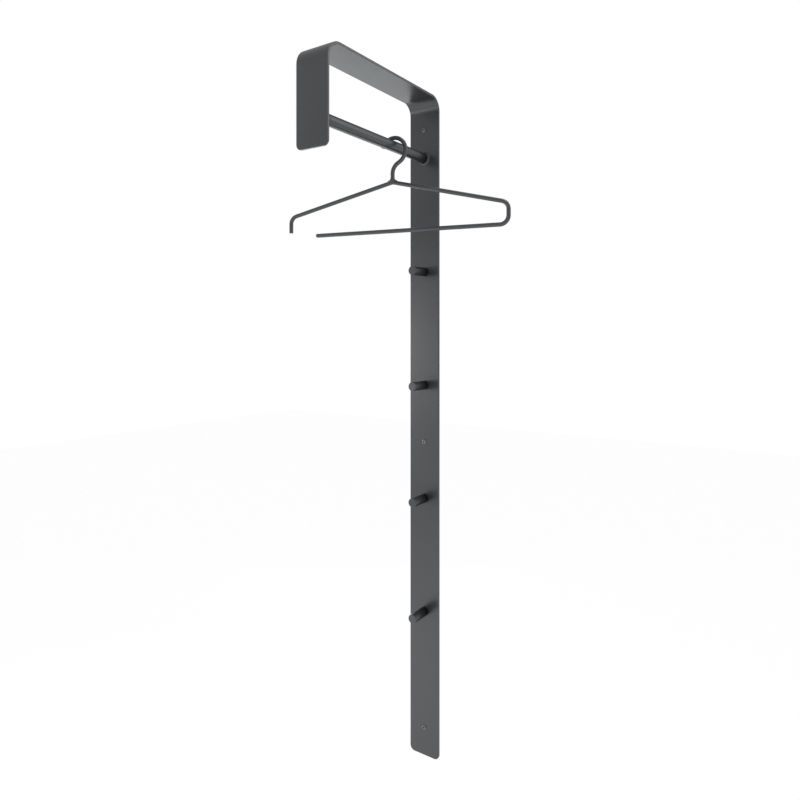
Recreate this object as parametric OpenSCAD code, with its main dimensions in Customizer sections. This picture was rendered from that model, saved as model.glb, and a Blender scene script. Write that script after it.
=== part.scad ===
// Wall coat rack: one bent flat bar with a rail under its arm, four pegs down
// its wall plate, three wall fixings, and a wire hanger hung on the rail.
// Millimetres, +Z up, X along the wall, the room on the -Y side.
// The origin is where the axis of the top wall fixing meets the wall plane.

/* [Strip] */
// Width of the flat bar
strip_w = 60; // [50:1:80]
// Thickness of the flat bar
strip_t = 4; // [3:0.5:6]
// Height from the plate's bottom edge to the top of the arm
strip_h = 1180; // [1120:10:1400]
// Reach of the arm, from the wall to the leg's outer face
arm_l = 305; // [260:5:400]
// Height of the leg, from its bottom edge to the top of the arm
leg_l = 153.5; // [145:0.5:160]
// Outer radius of the bend at the wall
wall_bend_r = 24.5; // [16:0.5:36]
// Outer radius of the bend at the leg
leg_bend_r = 28; // [16:0.5:36]
// Radius of the rounded corners at both ends of the bar
corner_r = 9; // [3:1:16]

/* [Rail] */
// Outer diameter of the rail tube
rail_d = 18; // [14:1:22]
// Wall of the rail tube
rail_wall = 1.5; // [1:0.5:3]
// Depth of the rail's axis below the top of the arm
rail_drop = 104.5; // [100:0.5:120]
// Leg of the weld bead round each end of the rail
bead_leg = 3; // [1:0.5:4]

/* [Pegs] */
// Diameter of a peg
peg_d = 16; // [12:1:22]
// Length of a peg from the plate's front face
peg_l = 40; // [30:1:60]
// Chamfer round a peg's tip
peg_edge = 0.8; // [0.4:0.1:2]
// Depth of the top peg's axis below the top of the arm
peg_drop = 309; // [290:1:330]
// Height of the lowest peg's axis above the plate's bottom edge
peg_rise = 259; // [200:1:300]

/* [Peg screws] */
// Thread diameter of a peg screw
peg_screw_d = 5; // [4:0.5:6]
// Length of a peg screw over its countersunk head
peg_screw_l = 16; // [12:1:20]
// Head diameter of a peg screw
peg_head_d = 9.2; // [8:0.1:10]
// Width across the flats of a peg screw's socket
peg_socket_w = 3; // [2:0.5:3]

/* [Wall fixings] */
// Depth of the top wall screw below the top of the arm
top_fixing_drop = 53; // [45:1:70]
// Height of the bottom wall screw above the plate's bottom edge
bottom_fixing_rise = 50; // [30:1:80]
// Thread diameter of a wall screw
wall_screw_d = 4.5; // [4:0.5:5]
// Length of a wall screw under its head
wall_screw_l = 45; // [40:1:60]
// Head diameter of a wall screw
wall_head_d = 8.5; // [8:0.5:12]
// Head height of a wall screw
wall_head_h = 1.4; // [1.2:0.1:4]
// Width across the flats of a wall screw's socket
wall_socket_w = 3; // [2:0.5:4]
// Diameter of a wall plug
plug_d = 8; // [8:0.5:12]
// Length of a wall plug
plug_l = 40; // [30:1:50]

/* [Hanger] */
// Diameter of the hanger's wire
wire_d = 7; // [5:0.5:8]
// Overall width of the hanger
hanger_w = 402; // [360:1:440]
// Depth of the shoulders' peak below the rail's axis
neck_drop = 61; // [58:1:80]
// Fall of each shoulder from the peak to the corner
shoulder_fall = 47.5; // [36:0.5:60]
// Depth of the lower bar below the corners
bar_fall = 34.5; // [32:0.5:50]
// Length of the free end that turns down at the left
stub_l = 27.5; // [18:0.5:34]
// Opening between that end and the free end of the lower bar
bar_gap = 51; // [30:1:80]
// Bend radius of the hanger's corners, on the wire's axis
corner_bend_r = 14; // [10:1:16]
// Bend radius of the shoulders' peak, on the wire's axis
peak_bend_r = 12; // [8:1:20]
// Distance of the hanger from the wall
hanger_out = 103.5; // [90:0.5:150]
// Turn of the hanger about the vertical, in degrees
hanger_turn = 12; // [0:1:15]

/* [Hook] */
// Play of the hook's loop round the rail, from the loop's centre to the rail's axis
hook_play = 8; // [5:0.1:10]
// Sideways place of the loop's centre
hook_side = 2.6; // [0:0.1:4]
// Bend radius of the hook's flank, on the wire's axis
flank_r = 24; // [20:1:28]
// Bend radius of the hook's neck, on the wire's axis
neck_r = 20; // [12:1:24]
// Turn of the hook's loop over the rail, in degrees
loop_turn = 163; // [160:1:190]
// Leg of the weld between the hook and the shoulders
hook_weld = 5; // [4:0.5:7]

/* [Hidden] */
$fn = 96;
// Names of the sub-parts, and how many pegs there are
peg_count = 4;

// Overrun of every cut
cut_over = 1;
// Clearance between the hook and the rail under it
hook_gap = 0.3;
// Radial clearance of a screw in its thread or seat
thread_gap = 0.05;
// Radial clearance of a screw in its hole through the bar
hole_gap = 0.5;
// Radial clearance of a peg screw in its hole through the bar
peg_hole_gap = 0.15;
// Gap between the stem's foot and the shoulders, inside the weld
foot_gap = 0.2;
// Depth of a peg screw's head below the back face
head_sink = 0.2;
// Thread left free at the bottom of a peg's hole
thread_spare = 3;
// Chamfer round the free ends of the hanger's wire
wire_edge = 1.2;
// Cone at a wall screw's tip and chamfer of a plug's nose
tip_l = 5;
plug_nose = 1.5;
// Depth of the sockets, and rounding of a wall screw's head
peg_socket_deep = 1.6;
wall_socket_deep = 1.5;
head_round = 0.8;
// Thickness of the weld in front of the wire and behind it, and at its top
weld_skin = 0.8;
weld_lip = 0.5;
// Height of the weld's base over the shoulders' peak, and its play round the stem
weld_rise = 1;
weld_gap = 0.05;
// Sides of the hanger's wire and largest step round its bends, in degrees
wire_sides = 16;
bend_step = 10;

// Colours of the finishes
paint = [0.23, 0.23, 0.24];
zinc = [0.62, 0.62, 0.64];
steel = [0.46, 0.46, 0.47];
nylon = [0.72, 0.72, 0.7];

// Levels, measured from the top wall fixing
top_z = top_fixing_drop;
bottom_z = top_z - strip_h;
leg_bottom_z = top_z - leg_l;
rail_z = top_z - rail_drop;
wall_bend_z = top_z - wall_bend_r;
leg_bend_z = top_z - leg_bend_r;
plate_front = -strip_t;
leg_inside = strip_t - arm_l;

// Places of the pegs and of the wall fixings
peg_pitch = (strip_h - peg_drop - peg_rise) / (peg_count - 1);
function peg_z(n) = top_z - peg_drop - (n - 1) * peg_pitch;
middle_fixing_z = (peg_z(2) + peg_z(3)) / 2;
bottom_fixing_z = bottom_z + bottom_fixing_rise;
fixing_zs = [0, middle_fixing_z, bottom_fixing_z];

// Radii
rail_r = rail_d / 2;
peg_r = peg_d / 2;
wire_r = wire_d / 2;
peg_screw_r = peg_screw_d / 2;
peg_head_r = peg_head_d / 2;
wall_screw_r = wall_screw_d / 2;
wall_head_r = wall_head_d / 2;
plug_r = plug_d / 2;
peg_head_h = peg_head_r - peg_screw_r;

// The hanger lies in its own plane: x across it, y up, and the rail's axis at zero
half_w = hanger_w / 2 - wire_r;
peak_y = -neck_drop;
corner_y = peak_y - shoulder_fall;
bar_y = corner_y - bar_fall;
slope = atan2(shoulder_fall, half_w);
peak_turn = 2 * slope;
corner_turn = 90 - slope;
peak_centre_y = peak_y - peak_bend_r / cos(slope);
corner_cut = corner_bend_r * tan(corner_turn / 2);
corner_x = half_w - corner_bend_r;
corner_centre_y = corner_y - corner_cut;
bar_centre_y = bar_y + corner_bend_r;

// The hook: a loop over the rail, a wider flank, and a neck that turns into the stem
loop_r = rail_r + hook_gap + wire_r + hook_play;
loop_x = hook_side;
loop_y = -sqrt(pow(hook_play, 2) - pow(hook_side, 2));
flank_x = loop_x + loop_r - flank_r;
neck_y = loop_y - sqrt(pow(flank_r + neck_r, 2) - pow(neck_r - flank_x, 2));
flank_turn = atan2(loop_y - neck_y, neck_r - flank_x);

// A tab of the bar from y = 0 up, with two rounded corners at its far end
module bar_end(h) {
  linear_extrude(strip_t) {
    translate([-strip_w / 2, 0]) square([strip_w, h - corner_r]);
    translate([corner_r - strip_w / 2, h - corner_r])
      square([strip_w - 2 * corner_r, corner_r]);
    for (side = [-1, 1])
      translate([side * (strip_w / 2 - corner_r), h - corner_r]) circle(corner_r);
  }
}

// The arm between two places along Y
module bar_arm(near, far) {
  rotate([90, 0, 90]) linear_extrude(strip_w, center = true)
    polygon([[near, top_z], [far, top_z], [far, top_z - strip_t], [near, top_z - strip_t]]);
}

// A quarter bend of the bar about a line along X, from the angle given
module bar_bend(r, from) {
  rotate([90, 0, 90])
    rotate([0, 0, from])
      rotate_extrude(angle = 90)
        translate([r - strip_t, -strip_w / 2]) square([strip_t, strip_w]);
}

// The bar before it is drilled. Each run starts where its bend ends, so that they meet at any size
module bar_blank() {
  translate([0, -strip_t, wall_bend_z]) rotate([-90, 0, 0]) bar_end(wall_bend_z - bottom_z);
  translate([0, -wall_bend_r, wall_bend_z]) bar_bend(wall_bend_r, 0);
  bar_arm(-wall_bend_r, leg_bend_r - arm_l);
  translate([0, leg_bend_r - arm_l, leg_bend_z]) bar_bend(leg_bend_r, 90);
  translate([0, -arm_l, leg_bend_z]) rotate([-90, 0, 0]) bar_end(leg_bend_z - leg_bottom_z);
}

// A hole through the plate, drilled from the back
module plate_hole(r) {
  translate([0, cut_over, 0])
    rotate([90, 0, 0]) cylinder(h = strip_t + 2 * cut_over, r = r);
}

// The seat of a peg screw: the hole and its countersink in the back face
module peg_screw_seat() {
  plate_hole(peg_screw_r + peg_hole_gap);
  seat_r = peg_head_r + head_sink + thread_gap;
  seat_h = seat_r - peg_screw_r;
  rotate([90, 0, 0]) cylinder(h = seat_h, r1 = seat_r, r2 = peg_screw_r);
  translate([0, cut_over, 0]) rotate([90, 0, 0]) cylinder(h = cut_over, r = seat_r);
}

module bent_strip() {
  color(paint) difference() {
    bar_blank();
    for (z = fixing_zs) translate([0, 0, z]) plate_hole(wall_screw_r + hole_gap);
    for (n = [1:peg_count]) translate([0, 0, peg_z(n)]) peg_screw_seat();
  }
}

module rail_tube() {
  rail_l = plate_front - leg_inside;
  color(paint) translate([0, plate_front, rail_z]) rotate([90, 0, 0]) difference() {
    cylinder(h = rail_l, r = rail_r);
    translate([0, 0, -cut_over])
      cylinder(h = rail_l + 2 * cut_over, r = rail_r - rail_wall);
  }
}

// A weld bead round the rail, with its flat side down on the bar
module rail_bead() {
  rotate_extrude()
    polygon([[rail_r, 0], [rail_r + bead_leg, 0], [rail_r, bead_leg]]);
}

module rail_weld_wall() {
  color(paint) translate([0, plate_front, rail_z]) rotate([90, 0, 0]) rail_bead();
}

module rail_weld_leg() {
  color(paint) translate([0, leg_inside, rail_z]) rotate([-90, 0, 0]) rail_bead();
}

// A peg, standing on the plate's front face
module peg(n) {
  thread_l = peg_screw_l - strip_t + thread_spare;
  color(paint) translate([0, plate_front, peg_z(n)]) rotate([90, 0, 0]) difference() {
    union() {
      cylinder(h = peg_l - peg_edge, r = peg_r);
      translate([0, 0, peg_l - peg_edge])
        cylinder(h = peg_edge, r1 = peg_r, r2 = peg_r - peg_edge);
    }
    translate([0, 0, -cut_over])
      cylinder(h = thread_l + cut_over, r = peg_screw_r + thread_gap);
  }
}

// A hexagonal socket of the given width, cut down from z = 0
module socket(width, deep) {
  translate([0, 0, -deep])
    cylinder(h = deep + cut_over, r = width / 2 / cos(30), $fn = 6);
}

// A countersunk screw from the back of the plate into a peg
module peg_screw(n) {
  color(zinc) translate([0, -head_sink, peg_z(n)]) rotate([-90, 0, 0]) difference() {
    union() {
      translate([0, 0, -peg_head_h])
        cylinder(h = peg_head_h, r1 = peg_screw_r, r2 = peg_head_r);
      translate([0, 0, -peg_screw_l])
        cylinder(h = peg_screw_l - peg_head_h, r = peg_screw_r);
    }
    socket(peg_socket_w, peg_socket_deep);
  }
}

// A pan head wall screw through the plate, with its tip in the wall
module wall_screw(z) {
  flat_r = wall_head_r - head_round;
  low_h = wall_head_h - head_round;
  color(steel) translate([0, plate_front, z]) rotate([90, 0, 0]) difference() {
    union() {
      cylinder(h = low_h, r = wall_head_r);
      translate([0, 0, low_h])
        cylinder(h = head_round, r1 = wall_head_r, r2 = flat_r);
      translate([0, 0, tip_l - wall_screw_l])
        cylinder(h = wall_screw_l - tip_l, r = wall_screw_r);
      translate([0, 0, -wall_screw_l])
        cylinder(h = tip_l, r1 = 0, r2 = wall_screw_r);
    }
    translate([0, 0, wall_head_h]) socket(wall_socket_w, wall_socket_deep);
  }
}

// A plug in the wall, open along its axis for the screw
module wall_plug(z) {
  color(nylon) translate([0, 0, z]) rotate([-90, 0, 0]) difference() {
    union() {
      cylinder(h = plug_l - plug_nose, r = plug_r);
      translate([0, 0, plug_l - plug_nose])
        cylinder(h = plug_nose, r1 = plug_r, r2 = plug_r - plug_nose);
    }
    translate([0, 0, -cut_over])
      cylinder(h = plug_l + 2 * cut_over, r = wall_screw_r + thread_gap);
  }
}

// Steps of a bend's sweep
function bend_steps(turn) = ceil(abs(turn) / bend_step);

// Stations of the wire round a bend, from one angle through a turn, at its centre.
// Each is [x, y, heading, radius]. A bend that follows another skips the shared one.
function bend(centre, r, from, turn, skip = 0) = [
  for (i = [skip:bend_steps(turn)])
    let (a = from + turn * i / bend_steps(turn))
      [centre[0] + r * cos(a), centre[1] + r * sin(a), a + 90 * sign(turn), wire_r]
];

// One station of a straight run
function station(x, y, heading, r = wire_r) = [x, y, heading, r];

// The hanger's wire, swept through its stations
module wire(stations) {
  last = len(stations) - 1;
  points = [
    for (s = stations, k = [0:wire_sides - 1])
      let (across = s[3] * cos(360 * k / wire_sides), out = s[3] * sin(360 * k / wire_sides))
        [s[0] - across * sin(s[2]), s[1] + across * cos(s[2]), out]
  ];
  walls = [
    for (i = [0:last - 1], k = [0:wire_sides - 1])
      let (next = (k + 1) % wire_sides, low = i * wire_sides, high = low + wire_sides)
        [low + k, high + k, high + next, low + next]
  ];
  start_cap = [for (k = [0:wire_sides - 1]) k];
  end_cap = [for (k = [wire_sides - 1:-1:0]) last * wire_sides + k];
  polyhedron(points = points, faces = concat(walls, [start_cap, end_cap]));
}

// From the hanger's own plane to its place on the rail
module hang() {
  translate([0, -hanger_out, rail_z])
    rotate([0, 0, hanger_turn])
      rotate([90, 0, 0])
        children();
}

// The bent wire: left end, shoulders, right end and lower bar
module hanger_frame() {
  stub_end = corner_y - stub_l;
  bar_end_x = bar_gap - half_w;
  tip_r = wire_r - wire_edge;
  color(paint) hang() wire(concat(
    [station(-half_w, stub_end, 90, tip_r), station(-half_w, stub_end + wire_edge, 90)],
    bend([-corner_x, corner_centre_y], corner_bend_r, 180, -corner_turn),
    bend([0, peak_centre_y], peak_bend_r, 90 + slope, -peak_turn),
    bend([corner_x, corner_centre_y], corner_bend_r, corner_turn, -corner_turn),
    bend([corner_x, bar_centre_y], corner_bend_r, 0, -90),
    [station(bar_end_x + wire_edge, bar_y, 180), station(bar_end_x, bar_y, 180, tip_r)]
  ));
}

// The hook: stem, neck, flank and the loop over the rail
module hanger_hook() {
  foot_y = peak_centre_y + peak_bend_r + wire_r + foot_gap;
  tip_x = loop_x + loop_r * cos(loop_turn) - wire_edge * sin(loop_turn);
  tip_y = loop_y + loop_r * sin(loop_turn) + wire_edge * cos(loop_turn);
  color(paint) hang() wire(concat(
    [station(0, foot_y, 90)],
    bend([neck_r, neck_y], neck_r, 180, -flank_turn),
    bend([flank_x, loop_y], flank_r, -flank_turn, flank_turn, 1),
    bend([loop_x, loop_y], loop_r, 0, loop_turn, 1),
    [station(tip_x, tip_y, loop_turn + 90, wire_r - wire_edge)]
  ));
}

// The room that the weld leaves for the stem and the two shoulders
module welded_wires() {
  run = 2 * wire_d + hook_weld;
  translate([0, peak_y - wire_r, 0])
    rotate([-90, 0, 0]) cylinder(h = run, r = wire_r + weld_gap);
  for (side = [0, 1]) mirror([side, 0, 0])
    translate([0, peak_y, 0]) rotate([0, 0, -slope]) rotate([0, 90, 0])
      translate([0, 0, -wire_r]) cylinder(h = run, r = wire_r);
}

// The weld round the stem's foot: a gusset on each side, dressed flat in front and behind
module hanger_weld() {
  reach = wire_r + hook_weld;
  half_t = wire_r + weld_skin;
  top_r = wire_r + weld_lip;
  color(paint) hang() difference() {
    translate([0, peak_y, -half_t]) linear_extrude(2 * half_t)
      polygon([[-reach, weld_rise], [reach, weld_rise], [top_r, reach], [-top_r, reach]]);
    welded_wires();
  }
}

bent_strip();
rail_tube();
rail_weld_wall();
rail_weld_leg();
peg(1);  // peg_1
peg(2);  // peg_2
peg(3);  // peg_3
peg(4);  // peg_4
peg_screw(1);  // peg_screw_1
peg_screw(2);  // peg_screw_2
peg_screw(3);  // peg_screw_3
peg_screw(4);  // peg_screw_4
wall_screw(fixing_zs[0]);  // wall_screw_top
wall_screw(fixing_zs[1]);  // wall_screw_middle
wall_screw(fixing_zs[2]);  // wall_screw_bottom
wall_plug(fixing_zs[0]);  // wall_plug_top
wall_plug(fixing_zs[1]);  // wall_plug_middle
wall_plug(fixing_zs[2]);  // wall_plug_bottom
hanger_frame();
hanger_hook();
hanger_weld();
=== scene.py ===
import math

import bmesh
import bpy
from bpy.props import FloatProperty
from bpy.props import FloatVectorProperty
from bpy.props import IntProperty
from bpy.props import PointerProperty
from mathutils import Matrix
from mathutils import Vector


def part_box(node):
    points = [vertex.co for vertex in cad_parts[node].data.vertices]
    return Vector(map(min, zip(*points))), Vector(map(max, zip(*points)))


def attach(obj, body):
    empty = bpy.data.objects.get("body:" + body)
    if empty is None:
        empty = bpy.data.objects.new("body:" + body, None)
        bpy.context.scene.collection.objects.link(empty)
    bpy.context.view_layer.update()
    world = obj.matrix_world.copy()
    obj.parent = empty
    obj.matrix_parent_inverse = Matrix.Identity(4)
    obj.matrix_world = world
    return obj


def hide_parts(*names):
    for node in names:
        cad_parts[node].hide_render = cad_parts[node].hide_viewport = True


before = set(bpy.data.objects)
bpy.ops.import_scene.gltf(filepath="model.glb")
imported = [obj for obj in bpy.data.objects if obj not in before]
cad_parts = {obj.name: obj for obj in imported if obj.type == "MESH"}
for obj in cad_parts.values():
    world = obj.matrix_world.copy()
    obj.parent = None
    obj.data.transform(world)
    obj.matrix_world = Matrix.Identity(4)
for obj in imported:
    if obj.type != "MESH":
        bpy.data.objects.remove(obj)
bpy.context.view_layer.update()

bl_info = {
    "name": "Wall coat rack",
    "version": (1, 0, 0),
    "blender": (4, 5, 0),
    "location": "3D View > Sidebar > Coat rack",
    "description": "Bent flat bar coat rack with a rail, pegs, fixings and a wire hanger",
    "category": "Add Mesh",
}

# Boxes of the solids that the sizes below start from
BAR_LOW, BAR_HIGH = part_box("bent_strip")
RAIL_LOW, RAIL_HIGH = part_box("rail_tube")
PEG_LOW, PEG_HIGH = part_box("peg_1")
PLUG_LOW, PLUG_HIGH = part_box("wall_plug_top")
HEAD_LOW, HEAD_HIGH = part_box("wall_screw_top")
RAIL_RADIUS = (RAIL_HIGH.x - RAIL_LOW.x) / 2
RAIL_LEVEL = (RAIL_LOW.z + RAIL_HIGH.z) / 2

# Bodies, material slots and names of solids
RACK = "rack"
HANGER = "hanger"
PEGS = ("peg_1", "peg_2", "peg_3", "peg_4")
PEG_SCREWS = ("peg_screw_1", "peg_screw_2", "peg_screw_3", "peg_screw_4")
PLACES = ("top", "middle", "bottom")

# Materials, and the node groups that they share
RACK_COAT = "anthracite powder coat"
# The rail and pegs have the rack's coat with painted shade near their ends, and the hanger has
# it painted lighter
ROUND_SHADED_COAT = "rail and peg powder coat"
WIRE_LIT_COAT = "hanger powder coat"
SCREW_STEEL = "dull screw steel"
ZINC_PLATE = "zinc plated steel"
GREY_NYLON = "grey nylon"
GRAIN = "Surface grain"
MARKS = "Rubbed marks"

# Angles, and the distance at which points are merged
QUARTER = math.radians(90)
SHARP = math.radians(35)
SCREW_SHARP = math.radians(28)
MERGE = 1e-7

# Into how many steps a full round, a bend or a fillet is divided
PEG_STEPS = 96
TUBE_STEPS = 128
PLUG_STEPS = 64
SCREW_STEPS = 48
WIRE_STEPS = 32
THREAD_STEPS = 28
RIPPLE_STEPS = 6
BEND_STEPS = 24
BEAD_STEPS = 8
FILLET_STEPS = 12
WIRE_BEND_DEGREES = 4

# The part of a noise's range that the finishes use
NOISE_LOW = 0.3
NOISE_HIGH = 0.7

# Half the floor's width, and the width of the camera's sensor in millimetres
FLOOR_REACH = 8
SENSOR_WIDTH = 36

# What the softboxes point at, their tints, and each one's place, size and tint
AIM = (0, -0.1, -0.4)
NEUTRAL = (1.0, 1.0, 1.0)
COOL = (0.8, 1.0, 1.0)
SOFTBOXES = {
    "front": ((-1.85, -1.7, -0.48), (1.1, 0.6), NEUTRAL),
    "left": ((-2.0, 1.2, -0.3), (1.0, 1.2), NEUTRAL),
    "low": ((-1.9, 2.4, -1.3), (1.6, 1.0), COOL),
    "floor": ((-0.9, -1.0, -1.6), (1.0, 0.8), NEUTRAL),
    "top": ((0.5, 0.25, 1.7), (1.4, 0.8), NEUTRAL),
    "side": ((-2.1, -1.5, 0.7), (0.8, 0.8), NEUTRAL),
    "rim": ((1.5, 0.85, 0.6), (1.3, 1.8), NEUTRAL),
}


def length(name, description, default):
    """A property that holds a length in metres."""
    return FloatProperty(
        name=name,
        description=description,
        default=default,
        min=0.0,
        precision=4,
        subtype="DISTANCE",
        unit="LENGTH",
    )


def colour(name, description, default):
    """A property that holds a linear colour."""
    return FloatVectorProperty(
        name=name,
        description=description,
        default=default,
        min=0.0,
        max=1.0,
        size=3,
        subtype="COLOR",
    )


def number(name, description, default):
    """A property that holds a plain number."""
    return FloatProperty(name=name, description=description, default=default)


def rotation(name, description, degrees):
    """A property that holds an angle."""
    return FloatProperty(
        name=name,
        description=description,
        default=math.radians(degrees),
        subtype="ANGLE",
        unit="ROTATION",
    )


class BarSizes(bpy.types.PropertyGroup):
    """Sizes of the bent flat bar"""

    width: length("Width", "Width of the flat bar", BAR_HIGH.x - BAR_LOW.x)
    thickness: length("Thickness", "Thickness of the flat bar", 0.004)
    wall_bend: length("Wall bend", "Outer radius of the bend at the wall", 0.0245)
    leg_bend: length("Leg bend", "Outer radius of the bend at the leg", 0.028)
    corner_radius: length("Corner radius", "Rounding of the corners at both ends", 0.009)
    leg_height: length("Leg height", "Height of the leg with the arm's thickness", 0.1535)
    edge_radius: length("Edge radius", "Rounding of the bar's long edges", 0.0005)


class RailSizes(bpy.types.PropertyGroup):
    """Sizes of the rail and its welds"""

    wall: length("Wall", "Wall of the rail tube", 0.0015)
    bead: length("Bead", "Leg of the weld bead at each end", 0.003)
    ripple: length("Ripple", "Depth of the ripples along a bead", 0.00018)
    ripples: IntProperty(name="Ripples", description="Ripples round a bead", default=34)


class PegSizes(bpy.types.PropertyGroup):
    """Sizes of the pegs and their screws"""

    edge_radius: length("Edge radius", "Rounding round a peg's tip", 0.0009)
    screw_diameter: length("Screw diameter", "Thread diameter of a peg screw", 0.005)
    screw_length: length("Screw length", "Length of a peg screw over its head", 0.016)
    screw_pitch: length("Screw pitch", "Pitch of the peg screws' thread", 0.0008)
    head_diameter: length("Head diameter", "Head of a peg screw", 0.0092)
    head_sink: length("Head sink", "Depth of the head under the back face", 0.0002)
    socket_width: length("Socket width", "Width across the flats", 0.003)
    socket_depth: length("Socket depth", "Depth of the socket", 0.0016)


class FixingSizes(bpy.types.PropertyGroup):
    """Sizes of the wall screws and plugs"""

    screw_diameter: length("Screw diameter", "Thread diameter of a wall screw", 0.0045)
    screw_length: length("Screw length", "Length under the head", 0.045)
    screw_pitch: length("Screw pitch", "Pitch of the wall screws' thread", 0.0022)
    hole_gap: length("Hole gap", "Radial room of the screw in the plate", 0.0005)
    head_height: length("Head height", "Height of a wall screw's head", 0.0014)
    socket_width: length("Socket width", "Width across the flats", 0.003)
    socket_depth: length("Socket depth", "Depth of the socket", 0.0015)
    plug_nose: length("Plug nose", "Chamfer at the plug's far end", 0.0015)
    plug_rib: length("Plug rib", "Height of the plug's ribs", 0.0007)
    plug_slot: length("Plug slot", "Width of the plug's slots", 0.0013)
    ribs: IntProperty(name="Ribs", description="Ribs along a plug", default=7)


class HangerSizes(bpy.types.PropertyGroup):
    """Sizes of the wire hanger"""

    wire: length("Wire", "Diameter of the wire", 0.007)
    width: length("Width", "Overall width", 0.4018)
    neck_drop: length("Neck drop", "Depth of the shoulders' peak below the rail's axis", 0.061)
    shoulder_fall: length("Shoulder fall", "Fall from the peak to a corner", 0.0475)
    bar_fall: length("Bar fall", "Depth of the lower bar below the corners", 0.0345)
    stub: length("Stub", "Length of the left end that turns down", 0.0275)
    gap: length("Gap", "From that end to the lower bar's free end", 0.051)
    corner_bend: length("Corner bend", "Bend radius at the corners", 0.014)
    peak_bend: length("Peak bend", "Bend radius at the peak", 0.012)
    out: length("Out", "Distance from the wall", 0.1035)
    turn: rotation("Turn", "Turn about the vertical", 12)


class HookSizes(bpy.types.PropertyGroup):
    """Sizes of the hanger's hook"""

    rest_gap: length("Rest gap", "Clearance over the rail", 0.0003)
    play: length("Play", "From the loop's centre to the rail's axis", 0.008)
    side: length("Side", "Sideways place of the loop's centre", 0.0026)
    flank: length("Flank", "Bend radius of the flank", 0.024)
    neck: length("Neck", "Bend radius of the neck", 0.02)
    loop_turn: rotation("Loop turn", "Turn of the loop over the rail", 163)
    weld: length("Weld", "Leg of the weld at the stem's foot", 0.005)


class FinishSettings(bpy.types.PropertyGroup):
    """Colours and textures of the finishes"""

    coat: colour("Powder coat", "Anthracite powder coat", (0.0375, 0.0395, 0.045))
    # Painted shade: the rail and pegs are made darker and mirror less near the plate and the
    # leg, where shade falls
    painted_shade_reach: length("Painted shade reach", "How far from its end a round piece darkens", 0.032)
    painted_shade_least: number("Painted shade least", "How light its end stays", 0.05)
    # Painted light: the hanger's coat is the rack's coat made lighter, standing in for light on
    # its wires
    hanger_painted_light: number("Hanger painted light", "How light the hanger is, next to the rack", 1.5)
    coat_roughness: number("Coat roughness", "Sheen", 0.3)
    coat_ior: number("Coat IOR", "How strongly the coat mirrors", 1.7)
    grain: length("Grain", "Size of the coat's grain", 0.0011)
    screw: colour("Screw steel", "Dull steel of the wall screws", (0.20, 0.20, 0.205))
    zinc: colour("Zinc", "Zinc plate of the peg screws", (0.50, 0.50, 0.52))
    nylon: colour("Nylon", "Nylon of the wall plugs", (0.50, 0.50, 0.48))


class StageSettings(bpy.types.PropertyGroup):
    """Camera, lamps and floor"""

    lens: number("Lens", "Focal length in millimetres", 29.697)
    shift: number("Shift", "Vertical shift", -0.08688)
    heading: rotation("Heading", "Turn of the camera to the left", 34.398)
    place: FloatVectorProperty(
        name="Place",
        description="Where the camera stands",
        default=(0.63654, -1.01123, -0.36136),
        size=3,
        subtype="XYZ",
        unit="LENGTH",
    )
    floor_drop: length("Floor drop", "Depth of the floor below the rack", 0.7)
    world_strength: number("World", "Soft light all round", 0.55)
    front_power: number("Front", "Power of the front softbox", 8.3)
    left_power: number("Left", "Power of the left softbox", 8.0)
    low_power: number("Low", "Power of the low softbox behind", 2.8)
    floor_power: number("Floor", "Power of the softbox near the floor", 1.1)
    top_power: number("Top", "Power of the top softbox", 11.0)
    side_power: number("Side", "Power of the high softbox at the left", 2.0)
    rim_power: number("Rim", "Power of the softbox for the rims", 8.2)


SETTINGS = {
    "rack_bar": BarSizes,
    "rack_rail": RailSizes,
    "rack_pegs": PegSizes,
    "rack_fixings": FixingSizes,
    "rack_hanger": HangerSizes,
    "rack_hook": HookSizes,
    "rack_finish": FinishSettings,
    "rack_stage": StageSettings,
}


# Mesh tools

def new_verts(found):
    """The vertices of an operator's result."""
    return [g for g in found if isinstance(g, bmesh.types.BMVert)]


def ring_edges(found):
    """The edges of an operator's result that join two of its own vertices."""
    own = set(new_verts(found))
    edges = [g for g in found if isinstance(g, bmesh.types.BMEdge)]
    return [e for e in edges if e.verts[0] in own and e.verts[1] in own]


def run(bm, ring, step):
    """Carries a ring of edges straight on, and returns the new ring."""
    found = bmesh.ops.extrude_edge_only(bm, edges=ring)["geom"]
    bmesh.ops.translate(bm, verts=new_verts(found), vec=step)
    return ring_edges(found)


def bend(bm, ring, centre, axis, angle, steps):
    """Carries a ring of edges round a bend, and returns the new ring."""
    found = bmesh.ops.spin(
        bm,
        geom=ring,
        cent=centre,
        axis=axis,
        dvec=(0, 0, 0),
        angle=angle,
        steps=steps,
        use_merge=False,
        use_duplicate=False,
    )["geom_last"]
    return ring_edges(found)


def close_ends(bm, *rings):
    """Fills the open rings of a swept shape and turns its faces outwards."""
    for ring in rings:
        bmesh.ops.edgeloop_fill(bm, edges=ring)
    bmesh.ops.recalc_face_normals(bm, faces=bm.faces)


def soften(bm, edges, width, segments):
    """Rounds the edges given."""
    bmesh.ops.bevel(
        bm,
        geom=edges,
        offset=width,
        offset_type="OFFSET",
        segments=segments,
        profile=0.5,
        affect="EDGES",
        clamp_overlap=True,
        material=-1,
    )


def sharp_edges(bm, limit=SHARP):
    """The edges whose two faces turn by more than the limit."""
    return [e for e in bm.edges if e.is_manifold and e.calc_face_angle(0) > limit]


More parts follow.
